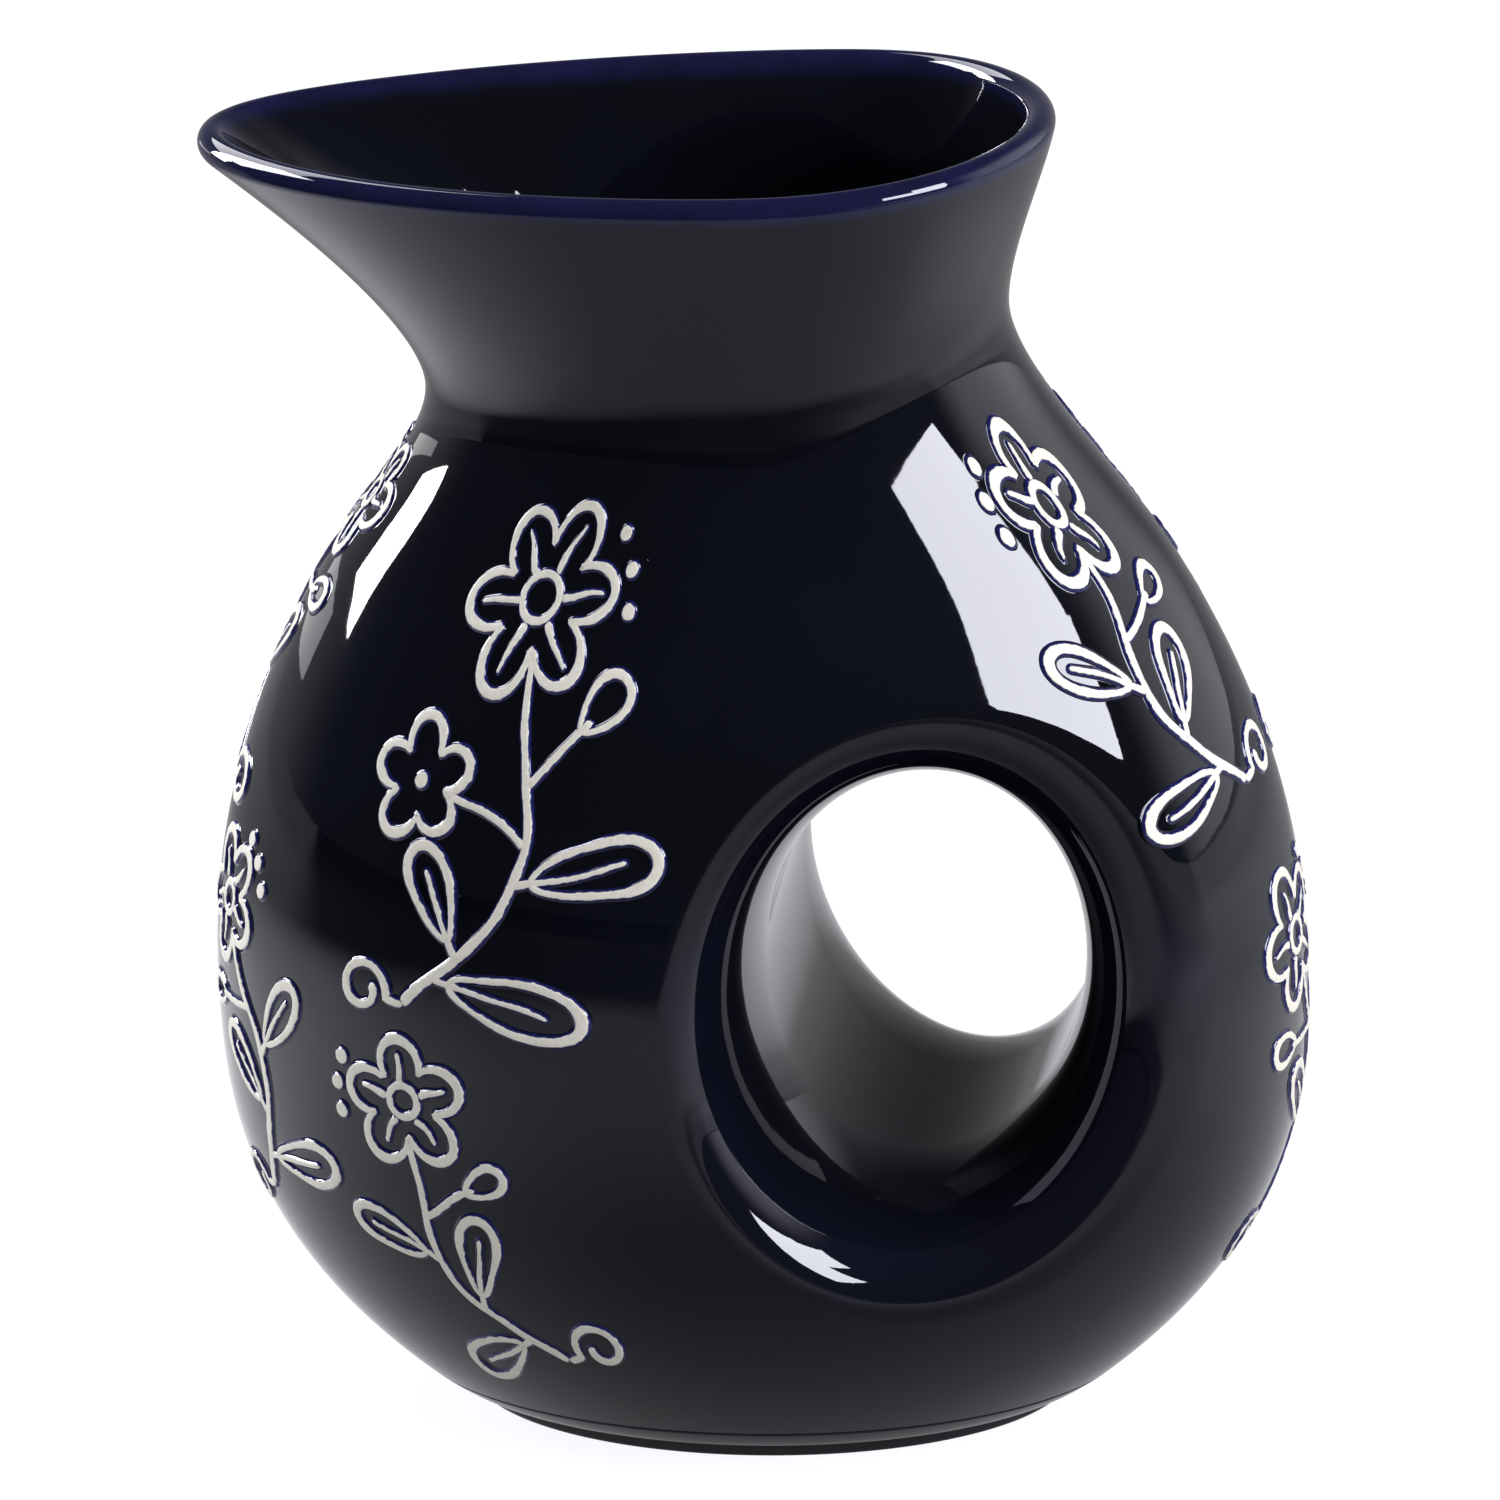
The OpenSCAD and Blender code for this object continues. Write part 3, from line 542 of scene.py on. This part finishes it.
def ridgeLift(out):  # flat crest, rounded over at its edge, then a hollow slope of glaze down to the skin
    over = np.clip(1 + out / relief["rounding"], 0, 1)
    slope = np.clip(1 - out / relief["skirt"], 0, 1)
    drop = relief["edgeDrop"]
    return relief["height"] * np.where(out < 0, 1 - drop * over ** 2, (1 - drop) * slope ** relief["hollow"])


# Cross product of the steps in both directions, and the skin's own normal where the slope ends
def shellNormals(points, skin, out, wrapRows, wrapCols):
    step = [np.roll(points, -1, axis) - np.roll(points, 1, axis) if wrap else np.gradient(points, axis=axis)
            for axis, wrap in ((0, wrapRows), (1, wrapCols))]
    normal = np.cross(*step)
    normal *= np.sign(np.sum(normal * skin, -1, keepdims=True))
    size, least = np.linalg.norm(normal, axis=-1, keepdims=True), 1e-13
    level = (out > relief["skirt"] * relief["rim"])[..., None] | (size < least)
    return np.where(level, skin, normal / np.maximum(size, least))


def closeEnds(points, normals, out, poles):  # fans from the first and the last ring to two poles
    rows, cols = out.shape
    faces = gridFaces(rows, cols, wrapRows=poles is None).reshape(-1, 4)
    points, normals, out = points.reshape(-1, 3), normals.reshape(-1, 3), out.ravel()
    if poles is not None:
        ring, count = np.arange(cols), rows * cols
        ahead = np.roll(ring, -1)
        for k, pair in enumerate(((ahead, ring), (count - cols + ring, count - cols + ahead))):
            pole = np.full(cols, count + k)
            faces = np.concatenate([faces, np.stack([*pair, pole, pole], -1)])
        points, normals, out = (np.concatenate([v, p]) for v, p in zip((points, normals, out), poles))
    return points, outward(points, faces), normals, out


def evenly(q, closed, share):  # the same line in steps of equal length, with its width shares
    q, share = (np.concatenate([v, v[:1]]) if closed else v for v in (q, share))
    along = np.concatenate([[0], np.cumsum(np.linalg.norm(np.diff(q, axis=0), axis=1))])
    count = max(relief["fewest"], int(along[-1] / relief["step"]))
    at = np.linspace(0, along[-1], count + (not closed), endpoint=not closed)
    return np.stack([np.interp(at, along, q[:, k]) for k in (0, 1)], -1), at, np.interp(at, along, share)


def trail(spot, q, closed, share, seed):  # ridge carried along a line, with round tips where the line is open
    skirt = relief["skirt"]
    if not closed:  # the slope of glaze runs on past both tips
        q = np.concatenate([[q[0] + unit(q[0] - q[1]) * skirt], q, [q[-1] + unit(q[-1] - q[-2]) * skirt]])
        share = np.concatenate([share[:1], share, share[-1:]])
    q, at, share = evenly(q, closed, share)
    if closed:
        for _ in range(relief["smoothings"]):  # the trailer rounds sharp turns off
            q = (np.roll(q, 1, 0) + 2 * q + np.roll(q, -1, 0)) / 4
    ahead = np.roll(q, -1, 0) - np.roll(q, 1, 0) if closed else np.gradient(q, axis=0)
    side = unit(np.stack([-ahead[:, 1], ahead[:, 0]], -1))[:, None]
    turns = np.maximum(1, np.round(at[-1] / np.array(relief["waves"])))[:, None]
    along = at / at[-1] * (1 - closed / len(at))  # a closed line takes whole waves
    sway = np.sin(2 * np.pi * turns * along + seed * np.array(relief["phases"])[:, None])
    half = relief["crest"] / 2 * share * (1 + relief["thicken"] * (sway[1] + sway[2]) / 2)
    q = q + side[:, 0] * (relief["stray"] * (sway[0] + sway[1] / 2))[:, None]
    tip = np.full(len(at), 1.0) if closed else np.minimum(at, at[-1] - at)  # distance from the nearer end
    outer = half + skirt
    wide = np.sqrt(outer ** 2 - np.clip(outer - tip, 0, None) ** 2) / outer
    a = (half[:, None] * acrossCrest + skirt * acrossSkirt) * wide[:, None]
    out = np.hypot(np.clip(outer - tip, 0, None)[:, None], a) - half[:, None]
    kept = slice(None) if closed else slice(1, -1)
    points, skin = layOn(spot, q[kept, None] + side[kept] * a[kept][..., None], ridgeLift(out[kept]))
    normals = shellNormals(points, skin, out[kept], closed, False)
    under = points[:, [-1, 0]] - skin[:, [-1, 0]] * relief["sink"]
    poles = None if closed else (*layOn(spot, q[[0, -1]], np.zeros(2)), np.full(2, skirt))
    return closeEnds(np.concatenate([points, under], 1), np.concatenate([normals, -skin[:, [-1, 0]]], 1),
                     np.pad(out[kept], ((0, 0), (0, 2)), constant_values=skirt), poles)


def berry(spot, middle, r):  # round dot: rings from its middle out to the end of its skirt
    w = around(relief["dotColumns"])
    rings = np.concatenate([r * dotShares, r + relief["skirt"] * skirtShares])
    out = np.broadcast_to((rings - r)[:, None], (len(rings), len(w)))
    points, skin = layOn(spot, middle + rings[:, None, None] * heading(w), ridgeLift(out))
    normals = shellNormals(points, skin, out, False, True)
    low = points[-1:] - skin[-1:] * relief["sink"]
    ends, endSkin = layOn(spot, np.array([middle, middle]), np.array([relief["height"], -relief["sink"]]))
    return closeEnds(np.concatenate([points, low]), np.concatenate([normals, -skin[-1:]]),
                     np.pad(out, ((0, 1), (0, 0)), constant_values=relief["skirt"]),
                     (ends, endSkin * np.array([[1], [-1]]), np.array([-r, relief["skirt"]])))


# Parts of a spray: sizes are shares of its length, of the flower's radius or of a leaf's length,
# gaps are counts of line widths or clear gaps, turns are in degrees and widths are shares of a full line
stem = {"bend": 0.085, "swing": 250, "first": -30, "aside": 0.02, "rise": 0.66, "foot": 0.5, "points": 90,
        "end": 1.4, "width": (1.0, 0.75)}
flower = {"radius": 0.185, "notch": 0.5, "fullness": 0.75, "uneven": (0.035, 0.03), "points": 60, "away": 1.5,
          "width": (0.68, 0.42), "eye": 0.243, "eyePoints": 60, "eyeWidth": 0.8,
          "veinStart": 0.3, "veinEnd": 1.6, "veinWidth": (0.85, 0.4),
          "dots": 3, "dotGap": 1.5, "dotFirst": 60, "dotTurn": 20}
leaf = {"wide": 0.2, "fullest": 0.34, "points": 90, "width": (0.62, 0.5, 1.5),
        "vein": 0.76, "veinWidth": (0.8, 0.5),  # then three leaves: place on the stem, turn from it, length
        "full": ((0.12, -58, 0.25), (0.20, 70, 0.19), (0.46, -54, 0.24)),
        "plain": ((0.14, -58, 0.27), (0.34, 60, 0.25), (0.60, -56, 0.24))}
blossom = {"place": (0.58, 58), "bend": (0.06, -0.005), "end": (0.12, 0.02), "turn": 22, "twigPoints": 30,
           "radius": 0.115, "petals": 5, "away": 1.35, "twigEnd": 1.2, "twigWidth": (0.8, 0.7),
           "thinner": 0.95}
bud = {"full": (0.74, -52), "plain": (0.78, 58), "out": 0.07, "length": 0.13, "wide": 0.036, "twigEnd": 0.03,
       "twigWidth": (0.8, 0.7), "thinner": 0.9}
curl = {"place": (0.0, 122), "radius": 2.9, "shrink": 0.66, "turn": 400, "points": 100, "width": (0.85, 0.95)}


def stemPlace(size, hand, t):  # slow bend from the spray's foot to its flower
    wave = stem["bend"] * np.sin(np.radians(stem["swing"] * t + stem["first"]))
    return size * np.stack([hand * (wave - stem["aside"]), stem["rise"] * t - stem["foot"]], -1)


def stemTurn(size, hand, t, step=0.001):  # the stem's direction in degrees
    d = stemPlace(size, hand, np.float64(t + step)) - stemPlace(size, hand, np.float64(t - step))
    return np.degrees(np.arctan2(d[1], d[0]))


def petalLine(middle, r, petals, first):  # one lobed line that begins at a notch, its lobes slightly uneven
    w = around(flower["points"] * petals)
    lobe = np.abs(np.sin(petals * w / 2))
    once, twice = flower["uneven"]
    uneven = 1 + once * np.sin(w + first) + twice * np.sin(2 * w + 2 * first)
    reach = r * (flower["notch"] + (1 - flower["notch"]) * lobe ** flower["fullness"]) * uneven
    least, more = flower["width"]
    return middle + turned(reach[:, None] * heading(w), first), least + more * lobe


def leafLine(base, size, wide, angle):  # outline that is fullest past its middle and thickest at its tip
    w = around(leaf["points"])
    along = (1 - np.cos(w)) / 2
    q = np.stack([size * along, wide * np.sin(w) * (1 - leaf["fullest"] * np.cos(w))], -1)
    least, more, power = leaf["width"]
    return base + turned(q, angle), least + more * along ** power


# Each line as places in the spray's plane, closed or not, and its width shares; then the dots' middles
def sprayLines(spot):
    size, hand = sprayLength * spot["length"], spot["hand"]
    kind = "full" if spot["full"] else "plain"
    line, clear = relief["width"], relief["width"] * relief["clear"]
    lines = []

    def twig(place, turn, out):  # a place out from the stem, and that direction
        angle = stemTurn(size, hand, place) + hand * turn
        return stemPlace(size, hand, np.float64(place)) + turned([out, 0.0], angle), angle

    def stroke(points, width):  # an open line whose width changes evenly from end to end
        lines.append((np.array(points), False, np.linspace(*width, len(points))))

    def outline(points, shares):  # a closed line
        lines.append((points, True, shares))

    top = stemTurn(size, hand, 1)
    r, tip = size * flower["radius"], stemPlace(size, hand, np.float64(1))
    bloom, eye = tip + turned([r / 2 + clear * flower["away"], 0], top), r * flower["eye"]
    bent = stemPlace(size, hand, np.linspace(0, 1, stem["points"]))
    stroke([*bent, tip + turned([clear * stem["end"], 0], top)], stem["width"])
    outline(*petalLine(bloom, r, spot["petals"], top + 180))
    ring = bloom + eye * heading(around(flower["eyePoints"]))
    outline(ring, np.full(len(ring), flower["eyeWidth"]))
    for k in range(spot["petals"]):  # one vein for each petal
        vein = [[eye + line * flower["veinStart"], 0], [r - line * flower["veinEnd"], 0]]
        stroke(bloom + turned(vein, top + 180 + 180 / spot["petals"] * (2 * k + 1)), flower["veinWidth"])
    for place, turn, share in leaf[kind]:
        base, a = twig(place, turn, clear)
        outline(*leafLine(base, size * share, size * share * leaf["wide"], a))
        veinEnd = base + turned([size * share * leaf["vein"], 0], a)
        stroke([twig(place, turn, 0.0)[0], base, veinEnd], leaf["veinWidth"])
    dots = []
    for k in range(flower["dots"]):
        a = top - hand * (flower["dotFirst"] + flower["dotTurn"] * k)
        dots.append(bloom + turned([r + line * flower["dotGap"], 0], a))
    if spot["full"]:  # a smaller blossom on a bent twig
        root, (base, a) = twig(*blossom["place"], 0.0)[0], twig(*blossom["place"], clear)
        bend, end = (base + turned(size * np.array([out, hand * side]), a)
                     for out, side in (blossom["bend"], blossom["end"]))
        smallR, endTurn = size * blossom["radius"], a + hand * blossom["turn"]
        small = end + turned([smallR / 2 + clear * blossom["away"], 0], endTurn)
        k = np.linspace(0, 1, blossom["twigPoints"])[:, None]
        arc = root * (1 - k) ** 2 + 2 * k * (1 - k) * bend + k ** 2 * end
        stroke([*arc, end + turned([clear * blossom["twigEnd"], 0], endTurn)], blossom["twigWidth"])
        places, shares = petalLine(small, smallR, blossom["petals"], endTurn + 180)
        outline(places, shares * blossom["thinner"])
        dots.append(small)
    place, turn = bud[kind]
    base, a = twig(place, turn, clear + size * bud["out"] + clear)
    stroke([twig(place, turn, 0.0)[0], base + turned([size * bud["twigEnd"], 0], a)], bud["twigWidth"])
    places, shares = leafLine(base, size * bud["length"], size * bud["wide"], a)
    outline(places, shares * bud["thinner"])
    base, a = twig(*curl["place"], clear)
    k, coilR = np.linspace(0, 1, curl["points"]), line * curl["radius"]
    s, w = coilR * (1 - curl["shrink"] * k), np.radians(curl["turn"] * k)
    coil = base + turned(np.stack([coilR - s * np.cos(w), -hand * s * np.sin(w)], -1), a)
    stroke([twig(*curl["place"], 0.0)[0], *coil], curl["width"])
    return lines, dots


def makeSpray(name, spot, seed):  # all lines and dots of one spray as closed shells in one mesh
    lines, dots = sprayLines(spot)
    shells = [trail(spot, line, closed, share, seed + k) for k, (line, closed, share) in enumerate(lines)]
    shells += [berry(spot, middle, relief["crest"] * relief["dot"]) for middle in dots]
    starts = np.cumsum([0] + [len(shell[0]) for shell in shells])
    faces = np.concatenate([shell[1] + at for shell, at in zip(shells, starts)])
    points, normals, out = (np.concatenate([shell[k] for shell in shells]) for k in (0, 2, 3))
    makePiece("spray_" + name + "_slip", points, faces, normals,
              "cream_slip", ["spray_" + name], creamSlip, edge=out * 1000)  # in millimetres


for number, (name, row) in enumerate(sprays.items()):
    makeSpray(name, dict(zip(sprayKeys, row)), number * relief["seedStep"])
print("relief made")


# Stage: a floor that is white in the picture but glows in reflections with painted light and a painted
# shadow, a dark room with a pale card at the right, and windows
soft = "SMOOTHSTEP"
stage = {"floor": 8.0, "tint": (0.97, 0.98, 1.02, 1), "inPicture": 0.95, "roughness": 0.9,
         "floorSeen": (0.12, 0.12, 0.12, 1), "floorHidden": (0.03, 0.03, 0.03, 1),
         # near, front, behind and turn shape a glow painted on the floor for reflections and bounced light:
         # painted light that fades with distance, and a painted shadow that darkens it close to the foot
         "near": (0.08, 0.28, 0.12, 0.42), "front": (0.42, 0.64, 1.0, 0.0),
         "behind": (0.20, 0.42, 0.70, 0.30), "turn": (-0.12, 0.08),
         "paintedLightPools": (((-0.30, 0.03, 0.0), 0.06, 0.33, 0.72),  # painted pools of light on the floor: middle, full within, dark beyond, brightness
                     ((0.62, 0.08, 0.0), 0.12, 0.66, 0.40), ((3.0, -0.2, 0.0), 1.6, 2.9, 0.45))}
room = {"dark": (0.038, 0.040, 0.050, 1), "back": (0.28, 0.28, 0.29, 1), "card": (1.2, 1.2, 1.24, 1),
        "white": (1.0, 1.0, 1.0, 1), "backY": (0.0, 0.5), "backZ": (0.60, 0.0),
        "cardX": (0.36, 0.72), "cardY": (-0.10, 0.26), "cardZ": (0.70, 0.35)}
# Azimuth, elevation and distance from the shoulder, width, height, power, roll, slide in its own plane
windows = {
    "rightWindow": (64.5, 21.4, 1.5, 0.82, 0.39, 19.1, -10, (0.02, 0.005)),
    "rightWindowTop": (64.5, 21.4, 1.5, 0.412, 0.29, 7.1, -10, (0.196, 0.345)),
    "leftWindow": (-111, 16.5, 1.5, 0.36, 0.34, 17, 0, (0, 0)),
    "leftWindowLow": (-129.5, 1.1, 1.5, 0.62, 0.12, 0.35, 14.3, (0, 0)),
    "leftWindowHigh": (-108, 37, 1.5, 0.52, 0.68, 22.0, 0, (0, 0)),
    "leftWindowTop": (-128, 40, 1.5, 1.1, 0.66, 12, 0, (0, 0)),
    "ceiling": (0, 80, 2.2, 2.4, 2.4, 30, 0, (0, 0)),
    "fill": (-12, 8, 1.9, 1.8, 0.5, 13, 0, (0, 0))}
glossOnly, neverInGloss = ("leftWindowHigh",), ("ceiling", "fill")
shoulder = np.array([0.0, 0.0, 0.14])
view = {"azimuth": 8.0, "elevation": 19.0, "roll": 1.6, "distance": 1.916, "target": (0.0, 0.0, 0.1118),
        "offset": (0.0008, 0.0018), "focal": 281.2, "sensor": 36.0, "farthest": 50.0}


def product(tree, first, *others):  # all values multiplied
    for value in others:
        first = combine(tree, "MULTIPLY", first, value)
    return first


def cameraRay(tree):  # 1 for what the picture sees directly, 0 for reflections and bounced light
    return addNode(tree, "ShaderNodeLightPath").outputs["Is Camera Ray"]


def makeFloor():  # painted light for reflections: bright up to an edge in front, fading with distance behind, with a painted shadow near the foot and soft round painted pools of light; the picture sees it evenly white
    s = stage["floor"]
    mesh = bpy.data.meshes.new("floor")
    mesh.from_pydata([(-s, -s, 0), (s, -s, 0), (s, s, 0), (-s, s, 0)], [], [(0, 1, 2, 3)])
    floor = bpy.data.objects.new("floor", mesh)
    bpy.context.scene.collection.objects.link(floor)
    material, tree, shader = newMaterial("paleFloorPaintedLight")
    place, seen = objectPlace(tree), cameraRay(tree)
    depth = addNode(tree, "ShaderNodeSeparateXYZ", {0: place}).outputs["Y"]
    reach = addNode(tree, "ShaderNodeVectorMath", {0: place}, operation="LENGTH").outputs["Value"]
    front = product(tree, ramp(tree, reach, *stage["near"], soft), ramp(tree, reach, *stage["front"], soft),
                    ramp(tree, depth, *stage["turn"], 1.0, 0.0, soft))
    behind = product(tree, ramp(tree, reach, *stage["behind"], soft),
                     ramp(tree, depth, *stage["turn"], 0.0, 1.0, soft))
    lit = combine(tree, "ADD", front, behind)
    for middle, inner, outer, bright in stage["paintedLightPools"]:
        gap = addNode(tree, "ShaderNodeVectorMath", {0: place, 1: middle}, operation="DISTANCE")
        lit = combine(tree, "ADD", lit, ramp(tree, gap.outputs["Value"], inner, outer, bright, 0.0, soft))
    # the painted light and painted shadow reach only reflections and bounced light; camera rays get the even
    # white glow
    hidden = product(tree, combine(tree, "SUBTRACT", 1.0, seen), lit)
    shown = product(tree, seen, stage["inPicture"])
    tree.links.new(combine(tree, "ADD", hidden, shown), shader.inputs["Emission Strength"])
    colour = blendColour(tree, seen, stage["floorHidden"], stage["floorSeen"])
    tree.links.new(colour, shader.inputs["Base Color"])
    shader.inputs["Roughness"].default_value = stage["roughness"]
    shader.inputs["Specular IOR Level"].default_value = 0.0
    shader.inputs["Emission Color"].default_value = stage["tint"]
    mesh.materials.append(material)


def makeWorld():  # white in the picture; reflections see a dark room and a pale card at the right
    world = bpy.data.worlds.new("studio")
    bpy.context.scene.world = world
    world.use_nodes = True
    tree = world.node_tree
    tree.nodes.clear()
    place = addNode(tree, "ShaderNodeTexCoord").outputs["Generated"]
    way = addNode(tree, "ShaderNodeSeparateXYZ", {0: place}).outputs
    card = product(tree, *(ramp(tree, way[axis], *room["card" + axis], 0.0, 1.0, soft) for axis in "XYZ"))
    back = product(tree, ramp(tree, way["Y"], *room["backY"], 0.0, 1.0, soft),
                   ramp(tree, way["Z"], *room["backZ"]))
    colour = blendColour(tree, back, room["dark"], room["back"])
    colour = blendColour(tree, card, colour, room["card"])
    colour = blendColour(tree, cameraRay(tree), colour, room["white"])
    sky = addNode(tree, "ShaderNodeBackground", {"Color": colour, "Strength": 1.0})
    tree.links.new(sky.outputs[0], addNode(tree, "ShaderNodeOutputWorld").inputs["Surface"])


def wayTo(azimuth, elevation):  # azimuth 0 is the front and 90 the right
    a, e = np.radians(azimuth), np.radians(elevation)
    return np.array([np.sin(a) * np.cos(e), -np.cos(a) * np.cos(e), np.sin(e)])


def standing(back, roll):  # directions right and up of a thing that looks against back, rolled about it
    level = unit(np.cross((0, 0, 1), back))
    right = level * np.cos(np.radians(roll)) + np.cross(back, level) * np.sin(np.radians(roll))
    return right, np.cross(back, right)


def linkAt(thing, right, upward, back, place):  # its three directions and its place make its matrix
    corners = np.vstack([np.column_stack([right, upward, back, place]), [0, 0, 0, 1]])
    thing.matrix_world = Matrix(corners.tolist())
    bpy.context.scene.collection.objects.link(thing)


# A rectangle of light that faces the shoulder, then slides in its own plane
def makeWindow(name, azimuth, elevation, distance, width, height, power, roll, slide):
    light = bpy.data.lights.new(name, "AREA")
    light.shape, light.size, light.size_y, light.energy = "RECTANGLE", width, height, power
    lamp = bpy.data.objects.new(name, light)
    back = wayTo(azimuth, elevation)
    right, upward = standing(back, roll)
    linkAt(lamp, right, upward, back, shoulder + back * distance + right * slide[0] + upward * slide[1])
    lamp.visible_diffuse = name not in glossOnly
    lamp.visible_glossy = name not in neverInGloss


def makeCamera():  # looks at the target from the photograph's side, moved a little in its own plane
    back = wayTo(view["azimuth"], view["elevation"])
    right, upward = standing(back, -view["roll"])
    place = np.array(view["target"]) - right * view["offset"][0] - upward * view["offset"][1]
    lens = bpy.data.cameras.new("photoLens")
    lens.lens, lens.sensor_width, lens.sensor_fit = view["focal"], view["sensor"], "HORIZONTAL"
    lens.clip_end = view["farthest"]
    camera = bpy.data.objects.new("photoCamera", lens)
    linkAt(camera, right, upward, back, place + back * view["distance"])
    bpy.context.scene.camera = camera


makeFloor()
makeWorld()
for name, row in windows.items():
    makeWindow(name, *row)
makeCamera()
bpy.context.scene.view_settings.view_transform = "Standard"
print("stage made")
